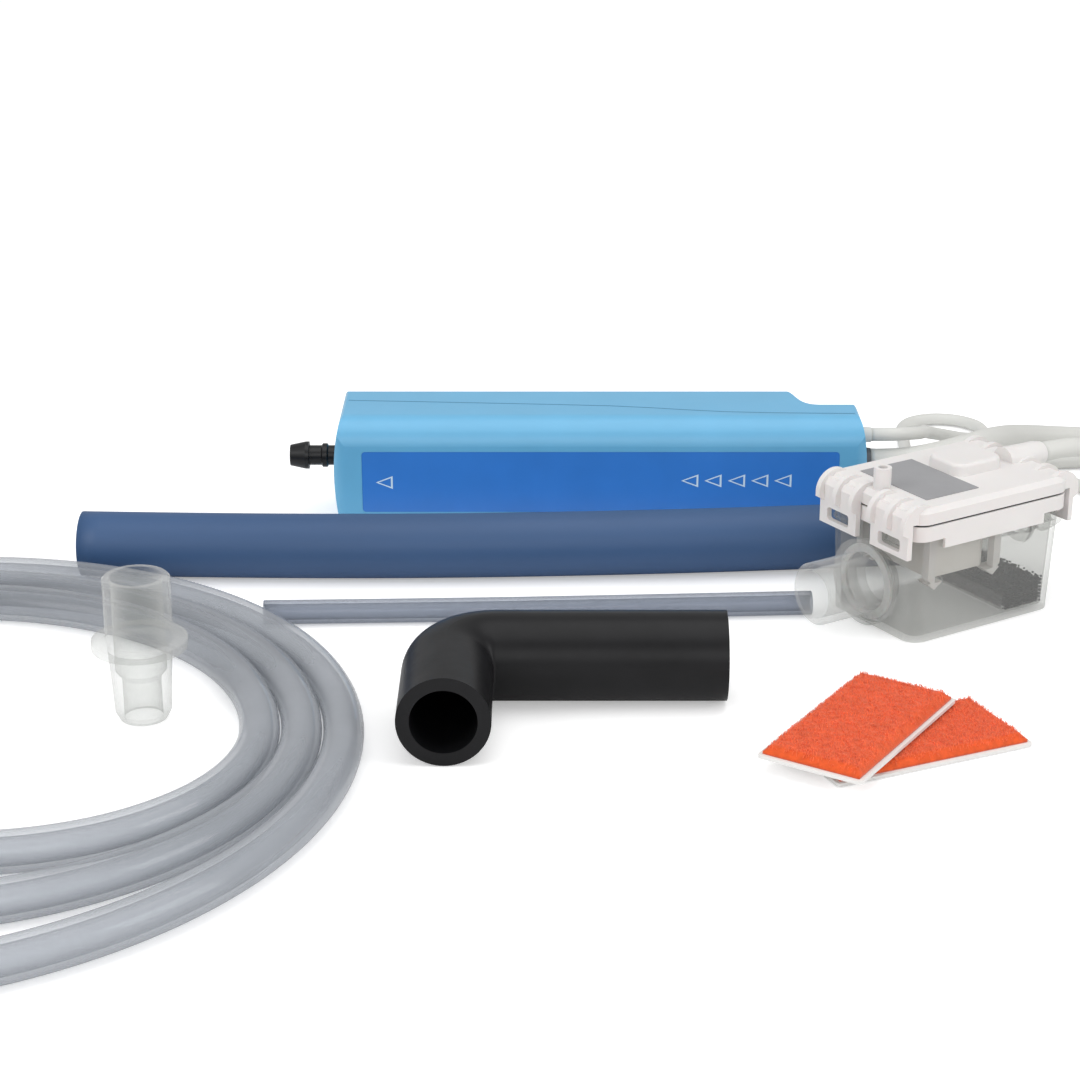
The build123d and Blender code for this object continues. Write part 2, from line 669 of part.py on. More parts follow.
boss_middle = (7.0, 2.0)
boss_size = (16.0, 13.0)
boss_height = 3.0
vent_u = -21.3
lead_z = cover_top_z - 0.3
hood_end_u = 28.6
with BuildPart() as lid_cover:
    with BuildSketch(tank_plane.offset(cover_bottom_z)):
        RectangleRounded(*lid_size, lid_corner)
    extrude(amount=cover_height)
    chamfer(lid_cover.faces().sort_by(Axis.Z)[-1].edges(), 1.2)
    with BuildSketch(tank_plane.offset(cover_top_z)):
        with Locations(boss_middle):
            RectangleRounded(*boss_size, 3.5)
    extrude(amount=boss_height, taper=8)
    fillet(lid_cover.faces().sort_by(Axis.Z)[-1].edges(), 1.0)
    with BuildSketch(Plane(origin=tank_point(vent_u, 0, cover_top_z - 1.0))):
        Circle(vent_radius)
    extrude(amount=vent_height + 1.0)
    turned(beam(tank_point(0, 0, lead_z), tuple(along)),
           [(18.0, 0), (hood_end_u, 0), (hood_end_u, 3.3), (18.0, 3.6)])
    for end in (-1, 1):
        for clip_v in (-clip_offset, clip_offset):
            inner_u = lid_size[0] / 2 + clip_gap
            outer_u = inner_u + clip_thickness
            with BuildSketch(lengthwise_plane(clip_v)):
                Polygon((end * 23.0, cover_bottom_z + 0.2), (end * 23.0, cover_top_z - 0.8),
                        (end * 25.6, cover_top_z - 0.8), (end * outer_u, cover_top_z - 2.4),
                        (end * outer_u, clip_foot_z), (end * inner_u, clip_foot_z),
                        (end * inner_u, cover_bottom_z + 0.2), align=None)
            extrude(amount=clip_width / 2, both=True)
            for rib in (-1, 0, 1):
                with BuildSketch(lengthwise_plane(clip_v + rib * (clip_width - clip_rib_width) / 2)):
                    with BuildLine():
                        ThreePointArc((end * 19.5, cover_top_z - 0.3), (end * 25.2, cover_top_z + 0.4),
                                      (end * 28.3, cover_top_z - 4.5))
                        Polyline((end * 28.3, cover_top_z - 4.5), (end * 28.3, cover_bottom_z - 1.7),
                                 (end * inner_u, cover_bottom_z - 3.5),
                                 (end * inner_u, cover_bottom_z + 0.2), (end * 19.5, cover_bottom_z + 2.7),
                                 (end * 19.5, cover_top_z - 0.3))
                    make_face()
                extrude(amount=clip_rib_width / 2, both=True)
            with BuildSketch(Plane(origin=tank_point(end * 27.0, clip_v, clip_foot_z + 2.9),
                                   x_dir=across, z_dir=along)):
                RectangleRounded(8.2, 3.2, 0.8)
            extrude(amount=4.0, both=True, mode=Mode.SUBTRACT)
    with BuildSketch(tank_plane.offset(cover_bottom_z)):
        RectangleRounded(lid_size[0] - 2 * cover_wall, lid_size[1] - 2 * cover_wall,
                         lid_corner - cover_wall)
    extrude(amount=cover_height - cover_roof, mode=Mode.SUBTRACT)
    with BuildSketch(tank_plane.offset(cover_bottom_z)):
        with Locations(boss_middle):
            RectangleRounded(boss_size[0] - 5.0, boss_size[1] - 5.0, 1.5)
    extrude(amount=cover_height + boss_height - cover_roof, mode=Mode.SUBTRACT)
    with BuildSketch(Plane(origin=tank_point(vent_u, 0, cover_bottom_z))):
        Circle(vent_radius - 1.0)
    extrude(amount=cover_height + vent_height, mode=Mode.SUBTRACT)
    turned(beam(tank_point(0, 0, lead_z), tuple(along)),
           [(22.0, 0), (hood_end_u + 1, 0), (hood_end_u + 1, 2.7), (22.0, 2.7)], Mode.SUBTRACT)

with BuildPart() as lead_grommet:
    turned(beam(tank_point(0, 0, lead_z), tuple(along)), [
        (22.2, 0), (22.2, 2.65), (hood_end_u, 2.65), (hood_end_u, 3.2), (hood_end_u + 2.0, 2.9),
        (hood_end_u + 2.0, 0),
    ])

label_middle_u = -9.5
with BuildPart() as lid_label:
    with BuildSketch(tank_plane.offset(cover_top_z)):
        with Locations((label_middle_u, 0)):
            Rectangle(16.5, 25.0)
    extrude(amount=0.2)

with BuildPart() as sensor_board:
    with BuildSketch(tank_plane.offset(cover_top_z - cover_roof - 0.2 - board_thickness)):
        Rectangle(37.0, 24.0)
    extrude(amount=board_thickness)

with BuildPart() as hall_sensor:
    with BuildSketch(tank_plane.offset(cover_top_z - cover_roof - 0.2)):
        with Locations(boss_middle):
            Rectangle(8.0, 6.0)
    extrude(amount=2.6)

with BuildPart() as float_body:
    with BuildSketch(tank_plane.offset(float_bottom_z)):
        with Locations((float_middle_u, 0)):
            RectangleRounded(float_size[0], float_size[1], 2.0)
    extrude(amount=float_size[2])
    with BuildSketch(tank_plane.offset(float_bottom_z + float_size[2])):
        with Locations((float_middle_u, 0)):
            Circle(3.05)
    extrude(amount=-2.0, mode=Mode.SUBTRACT)

with BuildPart() as float_magnet:
    with BuildSketch(tank_plane.offset(float_bottom_z + float_size[2] - 2.0)):
        with Locations((float_middle_u, 0)):
            Circle(3.0)
    extrude(amount=2.0)

# ---------------------------------------------------------------- loose fittings

hose_route = [
    (-135.4, -47.0, hose_radius), (-93.0, -48.9, hose_radius), (-44.0, -49.0, hose_radius),
    (6.0, -46.6, hose_radius), (46.0, -43.4, hose_radius), (81.0, -39.5, hose_radius),
]
with BuildPart() as drain_hose:
    hose_volume = laid_tube("drain_hose", hose_route, hose_radius, hose_bore_radius)

breather_route = [
    (-85.0, -80.6, breather_radius), (-44.0, -79.4, breather_radius),
    (0.0, -77.4, breather_radius), (51.6, -74.4, breather_radius),
]
with BuildPart() as breather_tube:
    breather_volume = laid_tube("breather_tube", breather_route, breather_radius, breather_bore_radius)

discharge_centre = (-160.4, -159.8)
discharge_outer = 106.5
discharge_hole_centre = (-155.9, -139.8)
discharge_hole = (74.1, 58.7)
with BuildPart() as discharge_tube:
    with BuildSketch():
        with Locations(discharge_centre):
            Circle(discharge_outer)
        with Locations(discharge_hole_centre):
            Ellipse(*discharge_hole, mode=Mode.SUBTRACT)
    extrude(amount=2 * discharge_radius)
    fillet(discharge_tube.faces().filter_by(Plane.XY).edges(), discharge_radius * 0.85)

elbow_route = [
    (-37.4, -160.5, elbow_radius), (-37.4, -124.3, elbow_radius), (26.6, -124.3, elbow_radius),
]
with BuildPart() as elbow_hose:
    with BuildLine() as elbow_line:
        FilletPolyline(*elbow_route, radius=elbow_corner_radius)
    with BuildSketch(Plane(origin=elbow_route[0], z_dir=(0, 1, 0))):
        Circle(elbow_radius)
        Circle(elbow_bore_radius, mode=Mode.SUBTRACT)
    sweep(path=elbow_line.wires()[0])

spare_height = 34.4
spare_place = (-106.7, -134.9)
with BuildPart() as spare_spigot:
    turned(Plane(origin=(*spare_place, 0), x_dir=(0, 0, 1), z_dir=(0, 1, 0)), [
        (0, 4.4), (0, 5.4), (2.0, 6.4), (17.4, 7.3), (17.4, flange_radius), (19.4, flange_radius),
        (19.4, 7.65), (spare_height - 0.5, 7.65), (spare_height, 7.15), (spare_height, 5.85),
        (12.0, 5.85), (10.0, 4.4),
    ])


def pad_plane(place, turn, z):
    """Level plane for a pad, turned about the vertical."""
    return Plane(origin=(*place, z), x_dir=(cos(radians(turn)), sin(radians(turn)), 0), z_dir=(0, 0, 1))


def laid_pad(plane, thickness):
    """Rectangular pad with slightly rounded corners."""
    with BuildSketch(plane) as outline:
        RectangleRounded(*pad_size, 1.0)
    extrude(outline.sketch, amount=thickness)


lower_place, lower_turn = (65.3, -149.4), 24.0
upper_place, upper_turn = (54.5, -149.0), 57.5
stack_z = backing_thickness + pad_thickness

with BuildPart() as lower_backing:
    laid_pad(pad_plane(lower_place, lower_turn, 0), backing_thickness)
with BuildPart() as lower_pad:
    laid_pad(pad_plane(lower_place, lower_turn, backing_thickness), pad_thickness)
with BuildPart() as upper_backing:
    laid_pad(pad_plane(upper_place, upper_turn, stack_z), backing_thickness)
with BuildPart() as upper_pad:
    laid_pad(pad_plane(upper_place, upper_turn, stack_z + backing_thickness), pad_thickness)

# ---------------------------------------------------------------- leads

floor_mains = mains_diameter / 2 + 0.1
floor_sensor = sensor_diameter / 2 + 0.1
floor_alarm = alarm_diameter / 2 + 0.1

mains_route = [
    (half_length + collar_length, end_fitting_y, mains_exit_z), (82.5, end_fitting_y, mains_exit_z),
    (90.7, -5.3, 18.2),
    (98.2, -1.3, 18.6), (104.5, 4.4, 18.4), (109.7, 11.3, 17.2), (114.3, 19.3, 15.2),
    (119.6, 27.6, 12.8), (126.4, 35.3, 10.2), (134.8, 42.0, 7.6), (144.6, 47.8, 5.3),
    (156.0, 52.0, 3.8), (168.5, 54.3, floor_mains), (181.0, 54.6, floor_mains),
    (193.0, 52.5, floor_mains),
]
with BuildPart() as mains_lead:
    mains_volume = laid_tube("mains_lead", mains_route, mains_diameter / 2)

sensor_route = [
    (sensor_exit[0] + boot_length, sensor_exit[1], sensor_exit[2]), (77.0, 9.0, 13.0), (85.0, 11.4, 11.0),
    (92.0, 17.3, 8.2), (98.7, 23.8, 5.6), (107.0, 29.5, 3.6), (117.5, 33.2, 2.7),
    (131.0, 35.5, floor_sensor), (146.0, 37.0, floor_sensor), (161.0, 38.2, floor_sensor),
    (176.0, 38.4, floor_sensor),
]
with BuildPart() as sensor_lead:
    sensor_volume = laid_tube("sensor_lead", sensor_route, sensor_diameter / 2)

sensor_end_route = [
    tuple(tank_point(hood_end_u + 2.0, 0, lead_z)), tuple(tank_point(40.0, 0, lead_z)),
    tuple(tank_point(51.0, 0.6, 32.4)), (136.6, -36.2, 27.0), (145.4, -31.2, 19.4),
    (154.5, -29.6, 11.8), (164.6, -30.0, 5.8), (177.0, -30.9, 3.0),
]
with BuildPart() as sensor_lead_end:
    sensor_end_volume = laid_tube("sensor_lead_end", sensor_end_route, sensor_diameter / 2)

alarm_route = [
    (half_length + collar_length, end_fitting_y, alarm_exit_z), (80.0, end_fitting_y, alarm_exit_z),
    (85.3, -4.6, 24.4), (88.7, 0.6, 22.8), (90.6, 6.8, 21.0), (92.0, 14.5, 18.6), (93.5, 23.0, 15.8),
    (96.0, 32.0, 12.4), (101.0, 40.5, 9.0), (107.8, 48.0, 5.4), (114.4, 54.8, 2.6),
    (118.5, 61.6, floor_alarm), (117.8, 69.5, floor_alarm), (112.6, 75.5, floor_alarm),
    (104.9, 77.3, floor_alarm), (97.6, 74.2, floor_alarm), (93.5, 67.4, floor_alarm),
    (93.0, 57.5, floor_alarm), (92.2, 46.5, floor_alarm), (90.8, 35.5, floor_alarm),
    (89.9, 25.5, floor_alarm), (90.1, 17.3, floor_alarm), (92.6, 10.4, floor_alarm),
    (98.8, 6.0, floor_alarm), (106.4, 5.9, floor_alarm), (112.6, 10.2, floor_alarm),
    (116.5, 16.4, floor_alarm), (121.6, 21.7, floor_alarm), (128.9, 22.9, floor_alarm),
    (135.5, 19.5, floor_alarm), (138.9, 12.9, floor_alarm), (140.2, 4.0, floor_alarm),
    (141.3, -7.0, floor_alarm), (143.0, -21.0, floor_alarm), (146.6, -36.0, floor_alarm),
    (150.2, -49.0, floor_alarm), (152.6, -60.0, floor_alarm),
]
with BuildPart() as alarm_lead:
    alarm_volume = laid_tube("alarm_lead", alarm_route, alarm_diameter / 2)

mains_coil_centre, mains_coil_inner, mains_coil_outer = (208.0, 96.0), 26.0, 47.0
sensor_coil_centre, sensor_coil_inner, sensor_coil_outer = (187.0, 6.0), 19.5, 35.5
alarm_coil_centre, alarm_coil_inner, alarm_coil_outer = (178.0, -66.0), 12.5, 27.5

with BuildPart() as mains_coil:
    wound_ring(mains_coil_centre, mains_coil_inner, mains_coil_outer, 2 * mains_diameter)
    fillet(mains_coil.edges(), mains_diameter * 0.4)

with BuildPart() as sensor_coil:
    wound_ring(sensor_coil_centre, sensor_coil_inner, sensor_coil_outer, 2 * sensor_diameter)
    fillet(sensor_coil.edges(), sensor_diameter * 0.4)

with BuildPart() as alarm_coil:
    wound_ring(alarm_coil_centre, alarm_coil_inner, alarm_coil_outer, 2 * alarm_diameter)
    fillet(alarm_coil.edges(), alarm_diameter * 0.4)


def stripped_end(plane, jacket_radius, core_radius, count):
    """Cores that stand out of a cut jacket, each with its bared tip; x runs along the lead."""
    ring(plane, 0, 3.0, 0, jacket_radius)
    for index in range(count):
        offset = (index - (count - 1) / 2) * 2 * core_radius * 1.05
        start = plane.from_local_coords(Vector(3.0, 0, offset))
        core = Plane(origin=start, x_dir=plane.x_dir, z_dir=plane.z_dir)
        ring(core, 0, 22.0, 0, core_radius)
        ring(core, 22.0, 29.0, 0, core_radius * 0.55)


mains_end_point = (201.0, mains_coil_centre[1] + mains_coil_outer + 2.8, floor_mains)
with BuildPart() as mains_cores:
    stripped_end(beam(mains_end_point, (-1, 0, 0)), mains_diameter / 2, 1.02, 3)

alarm_end_point = (190.0, alarm_coil_centre[1] - alarm_coil_outer + 0.8, floor_alarm)
with BuildPart() as alarm_cores:
    stripped_end(beam(alarm_end_point, (1, 0, 0)), alarm_diameter / 2, 0.8, 2)

# ---------------------------------------------------------------- write the pieces

pieces = {
    "front_shell": front_shell, "rear_shell": rear_shell, "front_label": front_label,
    "shell_screws": shell_screws, "outlet_fitting": outlet_fitting,
    "outlet_valve_seat": outlet_valve_seat, "outlet_valve": outlet_valve,
    "outlet_valve_spring": outlet_valve_spring, "outlet_o_ring": outlet_o_ring,
    "inlet_o_ring": inlet_o_ring, "core_tube": core_tube, "solenoid_bobbin": solenoid_bobbin,
    "coil_winding": coil_winding, "yoke": yoke, "yoke_pads": yoke_pads, "piston": piston,
    "return_spring": return_spring, "buffer_spring": buffer_spring, "inlet_fitting": inlet_fitting,
    "inlet_tube": inlet_tube, "inlet_barb": inlet_barb, "thermal_cutout": thermal_cutout,
    "control_board": control_board, "sensor_gland": sensor_gland, "alarm_gland": alarm_gland,
    "mains_gland": mains_gland, "tank": tank, "inlet_spigot": inlet_spigot,
    "spigot_seal": spigot_seal, "tank_outlet": tank_outlet, "filter_foam": filter_foam,
    "lid_frame": lid_frame, "lid_seal": lid_seal, "lid_cover": lid_cover, "lid_label": lid_label,
    "lead_grommet": lead_grommet, "sensor_board": sensor_board, "hall_sensor": hall_sensor,
    "float_body": float_body, "float_magnet": float_magnet, "drain_hose": drain_hose,
    "breather_tube": breather_tube, "discharge_tube": discharge_tube, "elbow_hose": elbow_hose,
    "spare_spigot": spare_spigot, "lower_backing": lower_backing, "lower_pad": lower_pad,
    "upper_backing": upper_backing, "upper_pad": upper_pad, "mains_lead": mains_lead,
    "mains_coil": mains_coil, "mains_cores": mains_cores, "sensor_lead": sensor_lead,
    "sensor_coil": sensor_coil, "sensor_lead_end": sensor_lead_end, "alarm_lead": alarm_lead,
    "alarm_coil": alarm_coil, "alarm_cores": alarm_cores,
}
tube_volumes = {
    "drain_hose": hose_volume, "breather_tube": breather_volume, "mains_lead": mains_volume,
    "sensor_lead": sensor_volume, "sensor_lead_end": sensor_end_volume, "alarm_lead": alarm_volume,
}
for name, volume in tube_volumes.items():
    print(f"{name}: solid over section times length {pieces[name].part.volume / volume:.4f}")
for name, piece in pieces.items():
    piece.part.label = name
    export_step(piece.part, f"parts/{name}.step")
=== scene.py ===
"""Looks of the condensate pump set: materials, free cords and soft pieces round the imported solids."""

from math import cos, pi, radians, sin, sqrt

import bmesh
import bpy
from mathutils import Matrix, Vector, noise


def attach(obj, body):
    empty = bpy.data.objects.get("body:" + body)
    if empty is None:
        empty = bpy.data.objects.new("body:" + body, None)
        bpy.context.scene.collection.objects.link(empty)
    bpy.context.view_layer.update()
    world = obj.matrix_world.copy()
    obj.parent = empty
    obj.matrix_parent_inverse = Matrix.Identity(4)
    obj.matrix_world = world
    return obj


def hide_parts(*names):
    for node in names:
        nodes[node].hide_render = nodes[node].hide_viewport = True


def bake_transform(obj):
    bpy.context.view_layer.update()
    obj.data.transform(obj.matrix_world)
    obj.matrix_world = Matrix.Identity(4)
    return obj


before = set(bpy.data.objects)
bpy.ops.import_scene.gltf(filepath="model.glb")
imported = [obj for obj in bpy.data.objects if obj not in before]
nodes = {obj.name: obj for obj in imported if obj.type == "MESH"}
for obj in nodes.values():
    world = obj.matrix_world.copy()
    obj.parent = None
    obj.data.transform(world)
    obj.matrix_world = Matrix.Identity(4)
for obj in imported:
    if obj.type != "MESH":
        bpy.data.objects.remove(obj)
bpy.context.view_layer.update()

# ---------------------------------------------------------------- camera, light and floor

scene = bpy.context.scene
scene.view_settings.view_transform = "Standard"

CAMERA_PLACE = (-0.0164, -0.6425, 0.2379)
CAMERA_DIP = 21.0
LENS, SENSOR_WIDTH = 81.67, 36.0

camera_data = bpy.data.cameras.new("photo_camera")
camera_data.sensor_width = SENSOR_WIDTH
camera_data.lens = LENS
camera = bpy.data.objects.new("photo_camera", camera_data)
camera.location = CAMERA_PLACE
camera.rotation_euler = (radians(90.0 - CAMERA_DIP), 0.0, 0.0)
scene.collection.objects.link(camera)
scene.camera = camera


def area_lamp(name, location, target, size, power):
    """Rectangular white lamp of the given power in watts, turned to its target."""
    data = bpy.data.lights.new(name, "AREA")
    data.shape = "RECTANGLE"
    data.size, data.size_y = size
    data.energy = power
    lamp = bpy.data.objects.new(name, data)
    lamp.location = location
    lamp.rotation_euler = (Vector(target) - Vector(location)).to_track_quat("-Z", "Y").to_euler()
    scene.collection.objects.link(lamp)


area_lamp("top_softbox", (0.05, -0.1, 1.25), (0.0, -0.06, 0.0), (1.3, 1.0), 6.0)
area_lamp("left_softbox", (-1.1, -0.7, 0.75), (0.0, -0.05, 0.0), (0.8, 0.8), 6.0)
area_lamp("right_softbox", (1.2, -0.5, 0.6), (0.05, -0.05, 0.0), (0.7, 0.7), 4.0)
area_lamp("front_fill", (0.0, -1.4, 0.6), (0.0, 0.0, 0.0), (1.0, 0.6), 3.4)


# ---------------------------------------------------------------- materials


class Nodes:
    """Small helper that adds nodes to one material and links them."""

    def __init__(self, name):
        self.material = bpy.data.materials.new(name)
        self.material.use_nodes = True
        self.tree = self.material.node_tree
        self.tree.nodes.clear()
        self.output = self.tree.nodes.new("ShaderNodeOutputMaterial")
        self.place = self.tree.nodes.new("ShaderNodeTexCoord").outputs["Object"]

    def add(self, kind, **values):
        node = self.tree.nodes.new(kind)
        for key, value in values.items():
            if key in node.inputs:
                node.inputs[key].default_value = value
            else:
                setattr(node, key, value)
        return node

    def link(self, start, end):
        self.tree.links.new(start, end)

    def noise(self, scale, detail=4.0, roughness=0.55, stretch=None):
        source = self.place
        if stretch:
            mapping = self.add("ShaderNodeMapping")
            mapping.inputs["Scale"].default_value = stretch
            self.link(source, mapping.inputs["Vector"])
            source = mapping.outputs["Vector"]
        node = self.add("ShaderNodeTexNoise")
        node.inputs["Scale"].default_value = scale
        node.inputs["Detail"].default_value = detail
        node.inputs["Roughness"].default_value = roughness
        self.link(source, node.inputs["Vector"])
        return node.outputs["Fac"]

    def ramp(self, fac, low, high, start=0.3, end=0.7):
        node = self.add("ShaderNodeValToRGB")
        node.color_ramp.elements[0].color = (*low, 1.0)
        node.color_ramp.elements[1].color = (*high, 1.0)
        node.color_ramp.elements[0].position = start
        node.color_ramp.elements[1].position = end
        self.link(fac, node.inputs["Fac"])
        return node.outputs["Color"]

    def span(self, fac, low, high):
        node = self.add("ShaderNodeMapRange")
        node.inputs["To Min"].default_value = low
        node.inputs["To Max"].default_value = high
        self.link(fac, node.inputs["Value"])
        return node.outputs["Result"]

    def bump(self, fac, strength, distance, below=None):
        node = self.add("ShaderNodeBump")
        node.inputs["Strength"].default_value = strength
        node.inputs["Distance"].default_value = distance
        self.link(fac, node.inputs["Height"])
        if below is not None:
            self.link(below, node.inputs["Normal"])
        return node.outputs["Normal"]


def shade(colour, amount):
    return tuple(min(1.0, channel * amount) for channel in colour)


def surface(name, colour, rough=0.4, spread=0.06, metallic=0.0, grain=900.0, grain_depth=0.00002,
            mottle=60.0, variation=0.06, coat=0.0, specular=0.5, sheen=0.0, stretch=None, subsurface=0.0):
    """Opaque plastic, rubber or metal with mottled colour, uneven gloss and a fine grain."""
    n = Nodes(name)
    shader = n.add("ShaderNodeBsdfPrincipled")
    shader.inputs["Base Color"].default_value = (*colour, 1.0)
    broad = n.noise(mottle, 5.0, stretch=stretch)
    n.link(n.ramp(broad, shade(colour, 1.0 - variation), shade(colour, 1.0 + variation)),
           shader.inputs["Base Color"])
    n.link(n.span(n.noise(mottle * 3.0, 6.0, stretch=stretch), rough - spread, rough + spread),
           shader.inputs["Roughness"])
    fine = n.noise(grain, 3.0, stretch=stretch)
    n.link(n.bump(fine, 0.35, grain_depth), shader.inputs["Normal"])
    shader.inputs["Metallic"].default_value = metallic
    shader.inputs["Specular IOR Level"].default_value = specular
    shader.inputs["Coat Weight"].default_value = coat
    shader.inputs["Coat Roughness"].default_value = 0.2
    shader.inputs["Sheen Weight"].default_value = sheen
    if subsurface:
        shader.inputs["Subsurface Weight"].default_value = subsurface
        shader.inputs["Subsurface Scale"].default_value = 0.002
    n.link(shader.outputs["BSDF"], n.output.inputs["Surface"])
    return n.material


def clear(name, tint, clear_tint, facing=0.10, edge=0.75, rough=0.16, haze=0.12, blend=0.42, wave=0.25):
    """Thin clear plastic: seen through face on, milky and shiny towards its edges."""
    n = Nodes(name)
    body = n.add("ShaderNodeBsdfPrincipled")
    body.inputs["Base Color"].default_value = (*tint, 1.0)
    n.link(n.ramp(n.noise(80.0), shade(tint, 0.95), shade(tint, 1.03)), body.inputs["Base Color"])
    n.link(n.span(n.noise(200.0), rough - 0.05, rough + 0.06), body.inputs["Roughness"])
    ripple = n.bump(n.noise(300.0, 2.0), wave, 0.00004)
    n.link(ripple, body.inputs["Normal"])
    body.inputs["Specular IOR Level"].default_value = 0.6
    through = n.add("ShaderNodeBsdfTransparent")
    through.inputs["Color"].default_value = (*clear_tint, 1.0)
    weight = n.add("ShaderNodeLayerWeight")
    weight.inputs["Blend"].default_value = blend
    n.link(ripple, weight.inputs["Normal"])
    share = n.add("ShaderNodeMapRange")
    share.inputs["To Min"].default_value = facing + haze
    share.inputs["To Max"].default_value = edge
    n.link(weight.outputs["Facing"], share.inputs["Value"])
    mix = n.add("ShaderNodeMixShader")
    n.link(share.outputs["Result"], mix.inputs["Fac"])
    n.link(through.outputs["BSDF"], mix.inputs[1])
    n.link(body.outputs["BSDF"], mix.inputs[2])
    n.link(mix.outputs["Shader"], n.output.inputs["Surface"])
    return n.material


body_blue = surface("body_blue", (0.135, 0.43, 0.68), 0.36, 0.05, grain=1400.0, variation=0.03, coat=0.15)
# painted shade: half the body blue, for the shade in the groove along the parting line
seam_painted_shade = surface("seam_painted_shade", (0.06, 0.21, 0.36), 0.5, 0.05, variation=0.05, specular=0.2)
label_blue = surface("label_blue", (0.036, 0.20, 0.63), 0.30, 0.04, grain=2500.0, grain_depth=0.00001,
                     variation=0.05, coat=0.2)
print_white = surface("print_white", (0.62, 0.78, 0.90), 0.35, 0.04, variation=0.04)
barb_black = surface("barb_black", (0.008, 0.008, 0.009), 0.34, 0.06, variation=0.15, specular=0.35)
seal_rubber = surface("seal_rubber", (0.025, 0.025, 0.026), 0.6, 0.08, grain=700.0, variation=0.15)
plated_steel = surface("plated_steel", (0.58, 0.58, 0.60), 0.3, 0.08, metallic=1.0, grain=500.0,
                       stretch=(1.0, 1.0, 12.0))
spring_steel = surface("spring_steel", (0.62, 0.62, 0.64), 0.25, 0.05, metallic=1.0, grain=1500.0)
bobbin_nylon = surface("bobbin_nylon", (0.72, 0.70, 0.62), 0.45, 0.05, subsurface=0.1)
copper = surface("copper", (0.55, 0.22, 0.09), 0.32, 0.06, metallic=1.0, grain=2200.0, grain_depth=0.0001,
                 stretch=(6.0, 1.0, 1.0))
silicone = surface("silicone", (0.72, 0.73, 0.71), 0.4, 0.05, subsurface=0.15)
board_green = surface("board_green", (0.03, 0.20, 0.08), 0.35, 0.06, grain=1200.0, variation=0.2)
gland_grey = surface("gland_grey", (0.10, 0.11, 0.12), 0.55, 0.06, grain=700.0)
foam_black = surface("foam_black", (0.004, 0.0045, 0.007), 0.8, 0.1, grain=1200.0, grain_depth=0.0003,
                     variation=0.4, specular=0.15)
seal_clear = surface("seal_clear", (0.60, 0.61, 0.60), 0.35, 0.05, variation=0.03, subsurface=0.2)
lid_white = surface("lid_white", (0.76, 0.735, 0.722), 0.42, 0.05, grain=1600.0, variation=0.02,
                    subsurface=0.05)
float_white = surface("float_white", (0.80, 0.77, 0.73), 0.5, 0.05, variation=0.03)
label_grey = surface("label_grey", (0.31, 0.31, 0.32), 0.5, 0.05, grain=2000.0, variation=0.05, specular=0.3)
ferrite = surface("ferrite", (0.08, 0.08, 0.085), 0.5, 0.08, variation=0.2)
hose_blue = surface("hose_blue", (0.035, 0.090, 0.210), 0.52, 0.07, grain=500.0, grain_depth=0.00008,
                    mottle=35.0, variation=0.10, stretch=(0.25, 1.0, 1.0))
elbow_black = surface("elbow_black", (0.007, 0.007, 0.008), 0.36, 0.08, grain=320.0, grain_depth=0.00005,
                      variation=0.3, specular=0.22)
backing_white = surface("backing_white", (0.78, 0.77, 0.75), 0.55, 0.05, grain=900.0, variation=0.03)
pad_orange = surface("pad_orange", (0.74, 0.100, 0.022), 0.85, 0.08, grain=2400.0, grain_depth=0.0003,
                     mottle=700.0, variation=0.14, sheen=0.25, specular=0.15)
pad_pile = surface("pad_pile", (0.88, 0.165, 0.060), 0.75, 0.06, grain=2000.0, mottle=300.0, variation=0.15,
                   sheen=0.3, specular=0.2)
lead_white = surface("lead_white", (0.66, 0.66, 0.63), 0.45, 0.06, grain=700.0, grain_depth=0.00004,
                     mottle=40.0, variation=0.04)
core_brown = surface("core_brown", (0.16, 0.07, 0.03), 0.4, 0.05)
tank_clear = clear("tank_clear", (0.66, 0.665, 0.655), (0.912, 0.914, 0.906), 0.03, 0.62, 0.16, 0.03, 0.17)
spigot_clear = clear("spigot_clear", (0.74, 0.74, 0.73), (0.93, 0.935, 0.93), 0.03, 0.72, 0.10, 0.03, 0.25)
vinyl_clear = clear("vinyl_clear", (0.44, 0.46, 0.49), (0.90, 0.91, 0.925), 0.12, 0.80, 0.12, 0.08,
                    0.36, 0.08)
thin_clear = clear("thin_clear", (0.26, 0.29, 0.34), (0.80, 0.82, 0.86), 0.12, 0.80, 0.13, 0.12, 0.36, 0.08)

